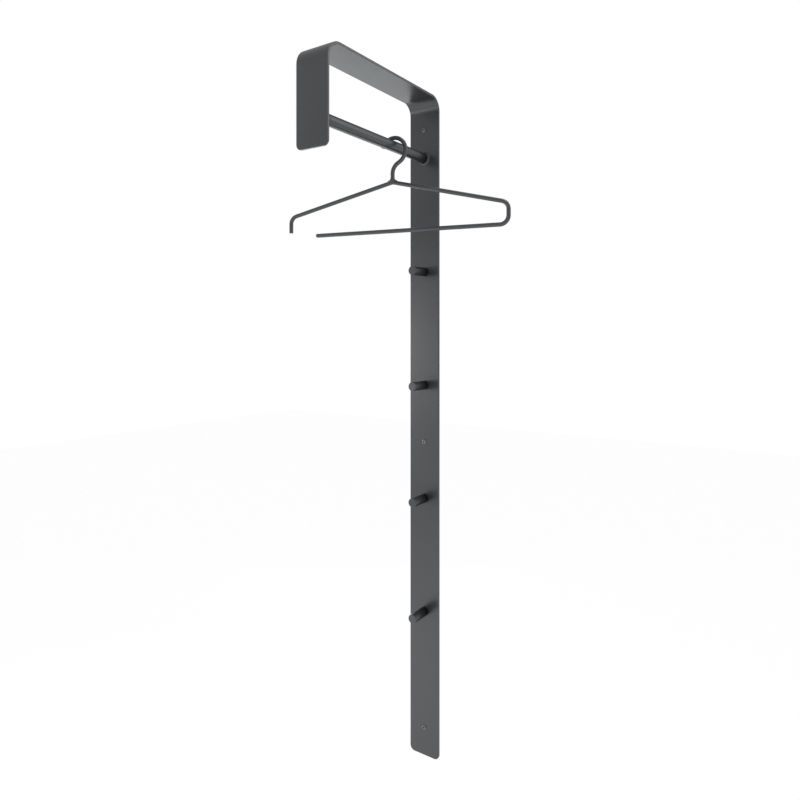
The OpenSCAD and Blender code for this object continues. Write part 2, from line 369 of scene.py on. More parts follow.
def turned(profile, steps, closed=False):
    """A shape turned about Z from a profile of radius and height."""
    bm = bmesh.new()
    verts = [bm.verts.new((radius, 0, height)) for radius, height in profile]
    edges = [bm.edges.new(pair) for pair in zip(verts, verts[1:])]
    if closed:
        edges.append(bm.edges.new((verts[-1], verts[0])))
    bmesh.ops.spin(
        bm,
        geom=verts + edges,
        cent=(0, 0, 0),
        axis=(0, 0, 1),
        dvec=(0, 0, 0),
        angle=2 * math.pi,
        steps=steps,
        use_merge=True,
        use_duplicate=False,
    )
    bmesh.ops.remove_doubles(bm, verts=bm.verts, dist=MERGE)
    bmesh.ops.recalc_face_normals(bm, faces=bm.faces)
    return bm


def circle(bm, radius, steps, place):
    """A ring of edges, in the same order each run."""
    verts = bmesh.ops.create_circle(
        bm, cap_ends=False, segments=steps, radius=radius, matrix=place
    )["verts"]
    return list(dict.fromkeys(edge for vert in verts for edge in vert.link_edges))


def joined(parts):
    """Several meshes in one."""
    whole = bmesh.new()
    for part in parts:
        mesh = bpy.data.meshes.new("part")
        part.to_mesh(mesh)
        part.free()
        whole.from_mesh(mesh)
        bpy.data.meshes.remove(mesh)
    return whole


def moved(bm, matrix):
    """The mesh, moved by a matrix."""
    bmesh.ops.transform(bm, matrix=matrix, verts=bm.verts)
    return bm


def out_of_wall(y, z):
    """From a shape turned about Z to its place on the plate, top towards the room."""
    return Matrix.Translation((0, y, z)) @ Matrix.Rotation(QUARTER, 4, "X")


def into_wall(y, z):
    """The same, with its top towards the wall."""
    return Matrix.Translation((0, y, z)) @ Matrix.Rotation(-QUARTER, 4, "X")


def new_object(name, bm):
    """An object at the origin that holds the mesh."""
    mesh = bpy.data.meshes.new(name)
    bm.to_mesh(mesh)
    bm.free()
    piece = bpy.data.objects.new(name, mesh)
    bpy.context.scene.collection.objects.link(piece)
    return piece


def cut(piece, cutter):
    """Takes the cutter's shape out of the piece, and the cutter out of the scene."""
    change = piece.modifiers.new("cut", "BOOLEAN")
    change.operation = "DIFFERENCE"
    change.solver = "EXACT"
    change.object = cutter
    shown = piece.evaluated_get(bpy.context.evaluated_depsgraph_get())
    result = bpy.data.meshes.new_from_object(shown)
    if len(result.polygons) == 0:
        raise RuntimeError(piece.name + " came out empty")
    old = piece.data
    piece.modifiers.clear()
    piece.data = result
    bpy.data.meshes.remove(old)
    bpy.data.objects.remove(cutter)


def finish_piece(piece, material, body, nodes, limit=SHARP):
    """Shades the piece, gives it its material and ties it to its body and solids."""
    bm = bmesh.new()
    bm.from_mesh(piece.data)
    for face in bm.faces:
        face.smooth = True
    for edge in sharp_edges(bm, limit):
        edge.smooth = False
    bm.to_mesh(piece.data)
    bm.free()
    even = piece.modifiers.new("even normals", "WEIGHTED_NORMAL")
    even.keep_sharp = True
    piece.data.materials.clear()
    piece.data.materials.append(bpy.data.materials[material])
    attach(piece, body)
    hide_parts(*nodes)


# Materials

def new_group(name, inputs, outputs):
    """A shader node group with a vector and numbers going in, and numbers coming out."""
    group = bpy.data.node_groups.new(name, "ShaderNodeTree")
    group.interface.new_socket("Vector", in_out="INPUT", socket_type="NodeSocketVector")
    for label, value in inputs:
        socket = group.interface.new_socket(label, in_out="INPUT", socket_type="NodeSocketFloat")
        socket.default_value = value
    for label in outputs:
        group.interface.new_socket(label, in_out="OUTPUT", socket_type="NodeSocketFloat")
    start = group.nodes.new("NodeGroupInput")
    end = group.nodes.new("NodeGroupOutput")
    return group, start, end


def add_noise(tree, vector, scale, detail, roughness=0.5):
    """A noise texture, whose scale may be a number or a socket."""
    noise = tree.nodes.new("ShaderNodeTexNoise")
    noise.inputs["Detail"].default_value = detail
    noise.inputs["Roughness"].default_value = roughness
    tree.links.new(vector, noise.inputs["Vector"])
    if isinstance(scale, (int, float)):
        noise.inputs["Scale"].default_value = scale
    else:
        tree.links.new(scale, noise.inputs["Scale"])
    return noise.outputs["Fac"]


def add_maths(tree, operation, first, second):
    """A maths node on two sockets or numbers."""
    maths = tree.nodes.new("ShaderNodeMath")
    maths.operation = operation
    for slot, value in zip(maths.inputs, (first, second)):
        if isinstance(value, (int, float)):
            slot.default_value = value
        else:
            tree.links.new(value, slot)
    return maths.outputs[0]


def add_range(tree, value, low=0.0, high=1.0, to_low=0.0, to_high=1.0):
    """A map range node."""
    node = tree.nodes.new("ShaderNodeMapRange")
    node.inputs["From Min"].default_value = low
    node.inputs["From Max"].default_value = high
    node.inputs["To Min"].default_value = to_low
    node.inputs["To Max"].default_value = to_high
    tree.links.new(value, node.inputs["Value"])
    return node.outputs["Result"]


def grain_group():
    """Fine grain with a broader waviness, and a slow drift over the surface."""
    finer = 4.3
    group, start, end = new_group(
        GRAIN, (("Grain scale", 900.0), ("Fine share", 0.35)), ("Height", "Drift")
    )
    place = start.outputs["Vector"]
    scale = start.outputs["Grain scale"]
    coarse = add_noise(group, place, scale, detail=2.0)
    fine_scale = add_maths(group, "MULTIPLY", scale, finer)
    fine = add_noise(group, place, fine_scale, detail=3.0, roughness=0.6)
    fine_part = add_maths(group, "MULTIPLY", fine, start.outputs["Fine share"])
    height = add_maths(group, "ADD", coarse, fine_part)
    drift = add_noise(group, place, scale=7.0, detail=3.0, roughness=0.55)
    group.links.new(height, end.inputs["Height"])
    group.links.new(drift, end.inputs["Drift"])


def marks_group():
    """Fine rubbed marks and small dull spots on bare metal."""
    group, start, end = new_group(MARKS, (("Mark scale", 1500.0),), ("Marks", "Spots"))
    place = start.outputs["Vector"]
    marks = add_noise(group, place, start.outputs["Mark scale"], detail=5.0, roughness=0.7)
    blots = add_noise(group, place, scale=420.0, detail=2.0, roughness=0.4)
    spots = add_range(group, blots, low=0.45, high=0.62)
    group.links.new(marks, end.inputs["Marks"])
    group.links.new(spots, end.inputs["Spots"])


def painted_shade_mask(tree, place, reach, least):
    """Painted shade: 1 along a round piece, and down to least where it meets the plate or the
    leg, where shade falls.
    """
    parts = tree.nodes.new("ShaderNodeSeparateXYZ")
    tree.links.new(place, parts.inputs[0])
    along = parts.outputs["Y"]
    wall_side = add_maths(tree, "SUBTRACT", RAIL_HIGH.y, along)
    leg_side = add_maths(tree, "SUBTRACT", along, RAIL_LOW.y)
    nearest = add_maths(tree, "MINIMUM", wall_side, leg_side)
    return add_range(tree, nearest, high=reach, to_low=least)


def new_material(name, group_name):
    """A material's tree and shader, with object coordinates into one node group."""
    material = bpy.data.materials.new(name)
    material.use_nodes = True
    tree = material.node_tree
    shader = tree.nodes["Principled BSDF"]
    coordinates = tree.nodes.new("ShaderNodeTexCoord")
    group = tree.nodes.new("ShaderNodeGroup")
    group.node_tree = bpy.data.node_groups[group_name]
    tree.links.new(coordinates.outputs["Object"], group.inputs["Vector"])
    return tree, shader, group


def mix_colours(tree, factor, first, second):
    """A colour between two colours or sockets, by a factor from 0 to 1."""
    mix = tree.nodes.new("ShaderNodeMix")
    mix.data_type = "RGBA"
    for label, value in (("A", first), ("B", second)):
        if isinstance(value, tuple):
            mix.inputs[label].default_value = (*value, 1)
        else:
            tree.links.new(value, mix.inputs[label])
    tree.links.new(factor, mix.inputs["Factor"])
    return mix.outputs["Result"]


def dress(tree, shader, tint, rough, height, strength, distance):
    """Links a colour, a roughness and a bump to the shader."""
    tree.links.new(tint, shader.inputs["Base Color"])
    tree.links.new(rough, shader.inputs["Roughness"])
    bump = tree.nodes.new("ShaderNodeBump")
    bump.inputs["Strength"].default_value = strength
    bump.inputs["Distance"].default_value = distance
    tree.links.new(height, bump.inputs["Height"])
    tree.links.new(bump.outputs["Normal"], shader.inputs["Normal"])


def shade(base, factor):
    """A colour made lighter or darker."""
    return tuple(min(1.0, part * factor) for part in base)


def coat_material(name, base, reach=0.0):
    """Satin powder coat with a fine grain, which may have painted shade near its ends: darker
    there and mirroring less.
    """
    drift_share = 0.07
    sheen_drift = 0.03
    painted_end_dark = 0.1
    shaded_shine_at_end = 0.05
    full_shine = 0.5
    finish = bpy.context.scene.rack_finish
    tree, shader, group = new_material(name, GRAIN)
    group.inputs["Grain scale"].default_value = 1 / finish.grain
    group.inputs["Fine share"].default_value = 0.4
    drift = group.outputs["Drift"]
    share = add_range(tree, drift, NOISE_LOW, NOISE_HIGH)
    tint = mix_colours(tree, share, shade(base, 1 - drift_share), shade(base, 1 + drift_share))
    # Painted shade: darker colour and weaker reflections towards the plate and the leg, where
    # shade falls
    if reach:
        place = group.inputs["Vector"].links[0].from_socket
        mask = painted_shade_mask(tree, place, reach, finish.painted_shade_least)
        tint = mix_colours(tree, mask, shade(base, painted_end_dark), tint)
        shine = add_range(tree, mask, to_low=shaded_shine_at_end, to_high=full_shine)
        tree.links.new(shine, shader.inputs["Specular IOR Level"])
    low = finish.coat_roughness - sheen_drift
    high = finish.coat_roughness + sheen_drift
    rough = add_range(tree, drift, NOISE_LOW, NOISE_HIGH, low, high)
    dress(tree, shader, tint, rough, group.outputs["Height"], strength=0.35, distance=0.00006)
    shader.inputs["IOR"].default_value = finish.coat_ior


def metal_material(name, base, low, high, mark_scale):
    """Bare or plated steel with rubbed marks, between two roughnesses."""
    tree, shader, group = new_material(name, MARKS)
    group.inputs["Mark scale"].default_value = mark_scale
    marks = group.outputs["Marks"]
    tint = mix_colours(tree, group.outputs["Spots"], shade(base, 1.08), shade(base, 0.85))
    rough = add_range(tree, marks, NOISE_LOW, NOISE_HIGH, low, high)
    dress(tree, shader, tint, rough, marks, strength=0.3, distance=0.00003)
    shader.inputs["Metallic"].default_value = 1.0


def nylon_material(name, base):
    """Moulded nylon with a soft sheen."""
    tree, shader, group = new_material(name, GRAIN)
    group.inputs["Grain scale"].default_value = 2400.0
    group.inputs["Fine share"].default_value = 0.2
    height = group.outputs["Height"]
    tint = mix_colours(tree, group.outputs["Drift"], shade(base, 0.94), shade(base, 1.04))
    rough = add_range(tree, height, low=0.3, high=1.0, to_low=0.42, to_high=0.56)
    dress(tree, shader, tint, rough, height, strength=0.2, distance=0.00004)


class RACK_OT_finishes(bpy.types.Operator):
    """Makes the node groups and the materials"""

    bl_idname = "rack.finishes"
    bl_label = "Finishes"

    def execute(self, context):
        finish = context.scene.rack_finish
        grain_group()
        marks_group()
        coat_material(RACK_COAT, finish.coat)
        # Painted shade near the ends of the rail and the pegs
        coat_material(ROUND_SHADED_COAT, finish.coat, finish.painted_shade_reach)
        # Painted light: the hanger gets the rack's coat made lighter
        coat_material(WIRE_LIT_COAT, shade(finish.coat, finish.hanger_painted_light))
        metal_material(SCREW_STEEL, finish.screw, low=0.35, high=0.52, mark_scale=1500.0)
        metal_material(ZINC_PLATE, finish.zinc, low=0.26, high=0.43, mark_scale=2600.0)
        nylon_material(GREY_NYLON, finish.nylon)
        return {"FINISHED"}


# The rack

def wall_levels():
    """Heights of the three wall fixings."""
    boxes = [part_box("wall_screw_" + place) for place in PLACES]
    return [(low.z + high.z) / 2 for low, high in boxes]


def peg_levels():
    """Heights of the pegs."""
    boxes = [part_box(name) for name in PEGS]
    return [(low.z + high.z) / 2 for low, high in boxes]


def bar_drills(bar, pegs, fixings):
    """What the drills take out of the plate, a little flared at both faces."""
    flare = bar.edge_radius / 4
    over = bar.thickness
    far = bar.thickness + over
    hole = fixings.screw_diameter / 2 + fixings.hole_gap
    mouth = hole + flare + over
    plain = [(0, -over), (mouth, -over), (hole, flare)]
    plain += [(hole, bar.thickness - flare), (mouth, far), (0, far)]
    seat = pegs.head_diameter / 2 + pegs.head_sink
    shank = pegs.screw_diameter / 2
    sunk = [(0, -over), (seat + over, -over), (shank, seat - shank), (shank, far), (0, far)]
    drills = [moved(turned(plain, SCREW_STEPS), out_of_wall(0, z)) for z in wall_levels()]
    drills += [moved(turned(sunk, SCREW_STEPS), out_of_wall(0, z)) for z in peg_levels()]
    return joined(drills)


class RACK_OT_bent_bar(bpy.types.Operator):
    """Bends the flat bar into plate, arm and leg, rounds its edges and drills it"""

    bl_idname = "rack.bent_bar"
    bl_label = "Bent bar"

    def execute(self, context):
        bar = context.scene.rack_bar
        bend_z = BAR_HIGH.z - bar.wall_bend
        far_y = BAR_LOW.y + bar.leg_bend
        far_z = BAR_HIGH.z - bar.leg_bend
        leg_z = BAR_HIGH.z - bar.leg_height
        bm = bmesh.new()
        flat = bmesh.ops.create_grid(bm, x_segments=1, y_segments=1, size=0.5)["verts"]
        bmesh.ops.scale(bm, vec=(bar.width, bar.thickness, 1), verts=flat)
        bmesh.ops.translate(bm, vec=(0, -bar.thickness / 2, BAR_LOW.z), verts=flat)
        first = list(bm.edges)
        bmesh.ops.delete(bm, geom=list(bm.faces), context="FACES_ONLY")
        ring = run(bm, first, (0, 0, bend_z - BAR_LOW.z))
        ring = bend(bm, ring, (0, -bar.wall_bend, bend_z), (1, 0, 0), QUARTER, BEND_STEPS)
        ring = run(bm, ring, (0, far_y + bar.wall_bend, 0))
        ring = bend(bm, ring, (0, far_y, far_z), (1, 0, 0), QUARTER, BEND_STEPS)
        ring = run(bm, ring, (0, 0, leg_z - far_z))
        close_ends(bm, first, ring)
        # The corners' edges are as short as the bar is thick
        short = bar.thickness * 1.01
        corners = [e for e in first + ring if e.calc_length() < short]
        soften(bm, corners, bar.corner_radius, segments=14)
        soften(bm, sharp_edges(bm), bar.edge_radius, segments=5)
        piece = new_object("bent_bar", bm)
        drills = bar_drills(bar, context.scene.rack_pegs, context.scene.rack_fixings)
        cut(piece, new_object("drills", drills))
        finish_piece(piece, RACK_COAT, RACK, ("bent_strip",))
        return {"FINISHED"}


def bead(rail):
    """A rippled weld bead that stands on z = 0 round the rail."""
    # How hollow the bead is, and how its ripples rise, lean and droop
    dish = 0.55
    rise = 4
    lean = 900
    droop = 0.7
    inner = RAIL_RADIUS - rail.wall / 2
    profile = [(inner, 0), (RAIL_RADIUS + rail.bead, 0)]
    for step in range(1, BEAD_STEPS + 1):
        angle = QUARTER * step / BEAD_STEPS
        out = rail.bead * math.cos(angle)
        up = rail.bead * math.sin(angle)
        back = out * up / rail.bead * dish
        profile.append((RAIL_RADIUS + out - back, up - back))
    profile.append((inner, profile[-1][1]))
    bm = turned(profile, rail.ripples * RIPPLE_STEPS, closed=True)
    for vert in bm.verts:
        radius = math.hypot(vert.co.x, vert.co.y)
        raised = min(1, max(0, (radius - RAIL_RADIUS) / rail.bead) * rise)
        raised *= min(1, vert.co.z / rail.bead * rise)
        phase = math.atan2(vert.co.y, vert.co.x) * rail.ripples + radius * lean
        fall = rail.ripple * raised * (1 + math.cos(phase)) / 2
        vert.co.z -= fall * droop
        vert.co.x -= fall * vert.co.x / radius
        vert.co.y -= fall * vert.co.y / radius
    return bm


class RACK_OT_rail(bpy.types.Operator):
    """Adds the rail tube and the weld beads round its ends"""

    bl_idname = "rack.rail"
    bl_label = "Rail"

    def execute(self, context):
        rail = context.scene.rack_rail
        reach = RAIL_HIGH.y - RAIL_LOW.y
        bore = RAIL_RADIUS - rail.wall
        profile = [(bore, 0), (RAIL_RADIUS, 0), (RAIL_RADIUS, reach), (bore, reach)]
        wall_end = out_of_wall(RAIL_HIGH.y, RAIL_LEVEL)
        leg_end = into_wall(RAIL_LOW.y, RAIL_LEVEL)
        tube = moved(turned(profile, TUBE_STEPS, closed=True), wall_end)
        for name, bm, coat, node in (
            ("rail", tube, ROUND_SHADED_COAT, "rail_tube"),
            ("weld_wall", moved(bead(rail), wall_end), RACK_COAT, "rail_weld_wall"),
            ("weld_leg", moved(bead(rail), leg_end), RACK_COAT, "rail_weld_leg"),
        ):
            finish_piece(new_object(name, bm), coat, RACK, (node,))
        return {"FINISHED"}


class RACK_OT_pegs(bpy.types.Operator):
    """Adds the pegs, rounded at the tip and drilled from behind"""

    bl_idname = "rack.pegs"
    bl_label = "Pegs"

    def execute(self, context):
        pegs = context.scene.rack_pegs
        radius = (PEG_HIGH.x - PEG_LOW.x) / 2
        reach = PEG_HIGH.y - PEG_LOW.y
        bore = pegs.screw_diameter / 2
        depth = pegs.screw_length
        profile = [(0, reach), (radius / 2, reach), (radius, reach), (radius, 0)]
        profile += [(bore, 0), (bore, depth), (0, depth + bore / 2)]
        for name, level in zip(PEGS, peg_levels()):
            bm = turned(profile, PEG_STEPS)
            tip = [e for e in sharp_edges(bm) if min(v.co.z for v in e.verts) > reach * 0.9]
            soften(bm, tip, pegs.edge_radius, segments=6)
            bm = moved(bm, out_of_wall(PEG_HIGH.y, level))
            piece = new_object(name.replace("_", "-"), bm)
            finish_piece(piece, ROUND_SHADED_COAT, RACK, (name,))
        return {"FINISHED"}


def thread(core, outer, pitch, low, high):
    """A helical ridge about Z, from one height to another."""
    half = pitch * 0.42
    sunk = core * 0.97
    turns = (high - low) / pitch - 1
    count = int(turns * THREAD_STEPS)
    bm = bmesh.new()
    corners = ((sunk, low), (outer, low + half), (sunk, low + 2 * half))
    verts = [bm.verts.new((radius, 0, height)) for radius, height in corners]
    edges = [bm.edges.new(pair) for pair in zip(verts, verts[1:] + verts[:1])]
    found = bmesh.ops.spin(
        bm,
        geom=verts + edges,
        cent=(0, 0, 0),
        axis=(0, 0, 1),
        dvec=(0, 0, turns * pitch / count),
        angle=2 * math.pi * turns,
        steps=count,
        use_merge=False,
        use_duplicate=False,
    )["geom_last"]
    close_ends(bm, edges, ring_edges(found))
    return bm


def socket_head(rim, socket_width, socket_depth, top):
    """The top of a head: from a round rim in to a hexagonal socket with a drilled floor."""
    sides = 6
    drilled = 1.25
    bm = bmesh.new()
    lift = Matrix.Translation((0, 0, top))
    outer = circle(bm, rim, SCREW_STEPS, lift)
    mouth = circle(bm, socket_width / 2 / math.cos(math.pi / sides), sides, lift)
    bmesh.ops.bridge_loops(bm, edges=outer + mouth)
    floor = run(bm, mouth, (0, 0, -socket_depth))
    found = bmesh.ops.extrude_edge_only(bm, edges=floor)["geom"]
    centre = (0, 0, top - socket_depth * drilled)
    bmesh.ops.pointmerge(bm, verts=new_verts(found), merge_co=centre)
    bmesh.ops.recalc_face_normals(bm, faces=bm.faces)
    return bm


def screw(profile, top, ridge, place):
    """A screw in its place, from its shank's profile, its head's top and its thread."""
    bm = joined([turned(profile, SCREW_STEPS), top, ridge])
    bmesh.ops.remove_doubles(bm, verts=bm.verts, dist=MERGE)
    return moved(bm, place)


class RACK_OT_peg_screws(bpy.types.Operator):
    """Adds the countersunk screws from the back of the plate into the pegs"""

    bl_idname = "rack.peg_screws"
    bl_label = "Peg screws"

    def execute(self, context):
        pegs = context.scene.rack_pegs
        head = pegs.head_diameter / 2
        outer = pegs.screw_diameter / 2
        core = outer - pegs.screw_pitch * 0.6
        cone = head - outer
        rim = head * 0.62
        end = pegs.screw_length
        chamfer = core * 0.3
        land = cone * 0.06
        lip = cone * 0.08
        profile = [(rim, 0), (head - land, 0), (head, -lip), (core, core - head)]
        profile += [(core, chamfer - end), (core - chamfer, -end), (0, -end)]
        for name, level in zip(PEG_SCREWS, peg_levels()):
            top = socket_head(rim, pegs.socket_width, pegs.socket_depth, 0)
            ridge = thread(core, outer, pegs.screw_pitch, -end, -cone)
            bm = screw(profile, top, ridge, into_wall(-pegs.head_sink, level))
            piece = new_object(name.replace("_", "-"), bm)
            finish_piece(piece, ZINC_PLATE, RACK, (name,), SCREW_SHARP)
        return {"FINISHED"}


class RACK_OT_wall_screws(bpy.types.Operator):
    """Adds the pan head screws through the plate into the wall"""

    bl_idname = "rack.wall_screws"
    bl_label = "Wall screws"

    def execute(self, context):
        bar = context.scene.rack_bar
        fixings = context.scene.rack_fixings
        head = (HEAD_HIGH.x - HEAD_LOW.x) / 2
        tall = fixings.head_height
        outer = fixings.screw_diameter / 2
        core = outer * 0.68
        rim = head * 0.52
        # The head's side is upright for this share of its height, and its dome is fuller
        # than round by this power
        side = 0.3
        bulge = 0.7
        under = head * 0.97
        lip = tall * 0.08
        end = fixings.screw_length
        tip = outer * 2
        plain = -bar.thickness * 1.5
        step_out = bar.thickness / 10
        profile = [(0, -end), (core, tip - end), (core, plain - step_out)]
        profile += [(outer, plain + step_out), (outer, 0), (under, 0)]
        profile += [(head, lip), (head, tall * side)]
        for step in range(1, FILLET_STEPS + 1):
            angle = QUARTER * step / FILLET_STEPS
            radius = rim + (head - rim) * math.cos(angle) ** bulge
            profile.append((radius, tall * (side + (1 - side) * math.sin(angle))))
        for place, level in zip(PLACES, wall_levels()):
            top = socket_head(rim, fixings.socket_width, fixings.socket_depth, tall)
            ridge = thread(core, outer, fixings.screw_pitch, tip * 0.4 - end, plain)
            bm = screw(profile, top, ridge, out_of_wall(-bar.thickness, level))
            piece = new_object("wall-screw-" + place, bm)
            finish_piece(piece, SCREW_STEEL, RACK, ("wall_screw_" + place,))
        return {"FINISHED"}


def plug_profile(fixings, radius, reach):
    """Half the section of a ribbed plug, from its mouth to its nose."""
    bore = fixings.screw_diameter / 2 + fixings.hole_gap / 10
    low = radius - fixings.plug_rib
    collar = radius * 0.4
    start = reach * 0.28
    pitch = (reach - fixings.plug_nose - start) / fixings.ribs
    # Where along its pitch a rib starts, reaches its crest, leaves it and ends
    rib_shape = ((low, 0), (radius, 0.25), (radius, 0.4), (low, 0.95))
    profile = [(bore * 1.15, 0), (radius, 0)]
    profile += [(radius, collar), (low, collar + fixings.plug_rib)]
    for rib in range(fixings.ribs):
        foot = start + rib * pitch
        profile += [(out, foot + pitch * share) for out, share in rib_shape]
    profile += [(low, reach - fixings.plug_nose), (radius - fixings.plug_nose, reach)]
    profile += [(bore, reach), (bore, radius * 0.2)]
    return profile


class RACK_OT_wall_plugs(bpy.types.Operator):
    """Adds the ribbed and slotted plugs in the wall"""

    bl_idname = "rack.wall_plugs"
    bl_label = "Wall plugs"

    def execute(self, context):
        fixings = context.scene.rack_fixings
        radius = (PLUG_HIGH.x - PLUG_LOW.x) / 2
        reach = PLUG_HIGH.y - PLUG_LOW.y
        for place, level in zip(PLACES, wall_levels()):
            bm = turned(plug_profile(fixings, radius, reach), PLUG_STEPS, closed=True)
            piece = new_object("wall-plug-" + place, moved(bm, into_wall(0, level)))
            blade = bmesh.new()
            bmesh.ops.create_cube(blade, size=1)
            bmesh.ops.scale(blade, vec=(radius * 3, fixings.plug_slot, reach), verts=blade.verts)
            bmesh.ops.translate(blade, vec=(0, 0, reach * 0.72), verts=blade.verts)
            cut(piece, new_object("blade", moved(blade, into_wall(0, level))))
            finish_piece(piece, GREY_NYLON, RACK, ("wall_plug_" + place,))
        return {"FINISHED"}


# The hanger lies in its own plane: X across it, Y up, and the rail's axis at zero

def hang():
    """From the hanger's own plane to its place on the rail."""
    hanger = bpy.context.scene.rack_hanger
    place = Matrix.Translation((0, -hanger.out, RAIL_LEVEL))
    return place @ Matrix.Rotation(hanger.turn, 4, "Z") @ Matrix.Rotation(QUARTER, 4, "X")


def wire_ring(bm, radius, place):
    """A ring of wire at a point of the hanger's plane, ready to run up."""
    at = Matrix.Translation((*place, 0)) @ Matrix.Rotation(QUARTER, 4, "X")
    return circle(bm, radius, WIRE_STEPS, at)


def wire_bend(bm, ring, centre, angle):
    """Carries the wire round a bend in the hanger's plane."""
    steps = max(4, round(abs(math.degrees(angle)) / WIRE_BEND_DEGREES))
    return bend(bm, ring, (*centre, 0), (0, 0, 1), angle, steps)


class RACK_OT_hanger_frame(bpy.types.Operator):
    """Bends the hanger's wire: left end, shoulders, right end and lower bar"""

    bl_idname = "rack.hanger_frame"
    bl_label = "Hanger frame"

    def execute(self, context):
        sizes = context.scene.rack_hanger
        radius = sizes.wire / 2
        half = sizes.width / 2 - radius
        peak = -sizes.neck_drop
        corner = peak - sizes.shoulder_fall
        bar = corner - sizes.bar_fall
        slope = math.atan2(sizes.shoulder_fall, half)
        corner_turn = QUARTER - slope
        corner_cut = sizes.corner_bend * math.tan(corner_turn / 2)
        peak_cut = sizes.peak_bend * math.tan(slope)
        shoulder = math.hypot(half, sizes.shoulder_fall) - corner_cut - peak_cut
        side = half - sizes.corner_bend
        level = corner - corner_cut
        bar_level = bar + sizes.corner_bend
        bm = bmesh.new()
        first = wire_ring(bm, radius, (-half, corner - sizes.stub))
        ring = run(bm, first, (0, sizes.stub - corner_cut, 0))
        ring = wire_bend(bm, ring, (-side, level), -corner_turn)
        along = Vector((math.cos(slope), math.sin(slope), 0)) * shoulder
        ring = run(bm, ring, along)
        peak_centre = (0, peak - sizes.peak_bend / math.cos(slope))
        ring = wire_bend(bm, ring, peak_centre, -2 * slope)
        along.y = -along.y
        ring = run(bm, ring, along)
        ring = wire_bend(bm, ring, (side, level), -corner_turn)
        ring = run(bm, ring, (0, bar_level - level, 0))
        ring = wire_bend(bm, ring, (side, bar_level), -QUARTER)
        ring = run(bm, ring, (sizes.gap - half - side, 0, 0))
        close_ends(bm, first, ring)
        # The left end is hardly rounded, and the lower bar's free end is nearly a ball
        soften(bm, first, radius * 0.3, segments=4)
        soften(bm, ring, radius * 0.8, segments=8)
        piece = new_object("hanger_wire", moved(bm, hang()))
        finish_piece(piece, WIRE_LIT_COAT, HANGER, ("hanger_frame",))
        return {"FINISHED"}


class RACK_OT_hanger_hook(bpy.types.Operator):
    """Bends the hook: stem, neck, flank and the loop over the rail"""

    bl_idname = "rack.hanger_hook"
    bl_label = "Hanger hook"

    def execute(self, context):
        sizes = context.scene.rack_hanger
        hook = context.scene.rack_hook
        radius = sizes.wire / 2
        loop = RAIL_RADIUS + hook.rest_gap + radius + hook.play
        loop_y = -math.sqrt(hook.play ** 2 - hook.side ** 2)
        flank_x = hook.side + loop - hook.flank
        across = hook.neck - flank_x
        neck_y = loop_y - math.sqrt((hook.flank + hook.neck) ** 2 - across ** 2)
        turn = math.atan2(loop_y - neck_y, across)
        bm = bmesh.new()
        foot = -sizes.neck_drop
        first = wire_ring(bm, radius, (0, foot))
        ring = run(bm, first, (0, neck_y - foot, 0))
        ring = wire_bend(bm, ring, (hook.neck, neck_y), -turn)
        ring = wire_bend(bm, ring, (flank_x, loop_y), turn)
        ring = wire_bend(bm, ring, (hook.side, loop_y), hook.loop_turn)
        tip = radius * 0.34
        onward = (-tip * math.sin(hook.loop_turn), tip * math.cos(hook.loop_turn), 0)
        ring = run(bm, ring, onward)
        close_ends(bm, first, ring)
        soften(bm, ring, tip, segments=6)
        piece = new_object("hook", moved(bm, hang()))
        finish_piece(piece, WIRE_LIT_COAT, HANGER, ("hanger_hook",))
        return {"FINISHED"}


class RACK_OT_hanger_weld(bpy.types.Operator):
    """Adds the dished weld between the stem and the shoulders"""

    bl_idname = "rack.hanger_weld"
    bl_label = "Hanger weld"

    def execute(self, context):
        sizes = context.scene.rack_hanger
        hook = context.scene.rack_hook
        radius = sizes.wire / 2
        core = radius / 2
        reach = radius + hook.weld
        profile = [(core, 0), (reach, 0)]
        for step in range(FILLET_STEPS + 1):
            angle = QUARTER * step / FILLET_STEPS
            out = reach - hook.weld * math.sin(angle)
            profile.append((out, reach - hook.weld * math.cos(angle)))
        profile.append((core, reach))
        bm = turned(profile, PLUG_STEPS, closed=True)
        # Flattened to about the wire's thickness, fuller half way up, and drooping sideways
        flat = 0.9
        fuller = 0.22
        skew = 0.8
        droop = 0.1
        for vert in bm.verts:
            share = max(0, min(1, vert.co.z / reach))
            around = math.hypot(vert.co.x, vert.co.y)
            if around > radius:
                swell = radius * (flat + fuller * math.sin(math.pi * share ** skew))
                vert.co.y *= min(1, swell / around)
                vert.co.z -= abs(vert.co.x) * droop
        foot = Matrix.Translation((0, -sizes.neck_drop, 0)) @ Matrix.Rotation(-QUARTER, 4, "X")
        piece = new_object("hook_weld", moved(moved(bm, foot), hang()))
        finish_piece(piece, WIRE_LIT_COAT, HANGER, ("hanger_weld",))
        return {"FINISHED"}


# The stage

def mix_shaders(tree, factor, first, second, output):
    """Mixes two shaders by a factor into the output node."""
    mix = tree.nodes.new("ShaderNodeMixShader")
    tree.links.new(factor, mix.inputs["Fac"])
    tree.links.new(first, mix.inputs[1])
    tree.links.new(second, mix.inputs[2])
    tree.links.new(mix.outputs["Shader"], tree.nodes[output].inputs["Surface"])


def white_material(name):
    """A pale surface that the camera and reflections see almost white."""
    seen_share = 0.9
    mirrored_share = 0.82
    material = bpy.data.materials.new(name)
    material.use_nodes = True
    tree = material.node_tree
    shader = tree.nodes["Principled BSDF"]
    shader.inputs["Base Color"].default_value = (0.8, 0.8, 0.8, 1)
    shader.inputs["Roughness"].default_value = 0.9
    glow = tree.nodes.new("ShaderNodeEmission")
    glow.inputs["Strength"].default_value = 1.045
    path = tree.nodes.new("ShaderNodeLightPath")
    seen = add_maths(tree, "MULTIPLY", path.outputs["Is Camera Ray"], seen_share)
    mirrored = add_maths(tree, "MULTIPLY", path.outputs["Is Glossy Ray"], mirrored_share)
    share = add_maths(tree, "MAXIMUM", seen, mirrored)
    glowing = glow.outputs["Emission"]
    mix_shaders(tree, share, shader.outputs["BSDF"], glowing, "Material Output")
    return material


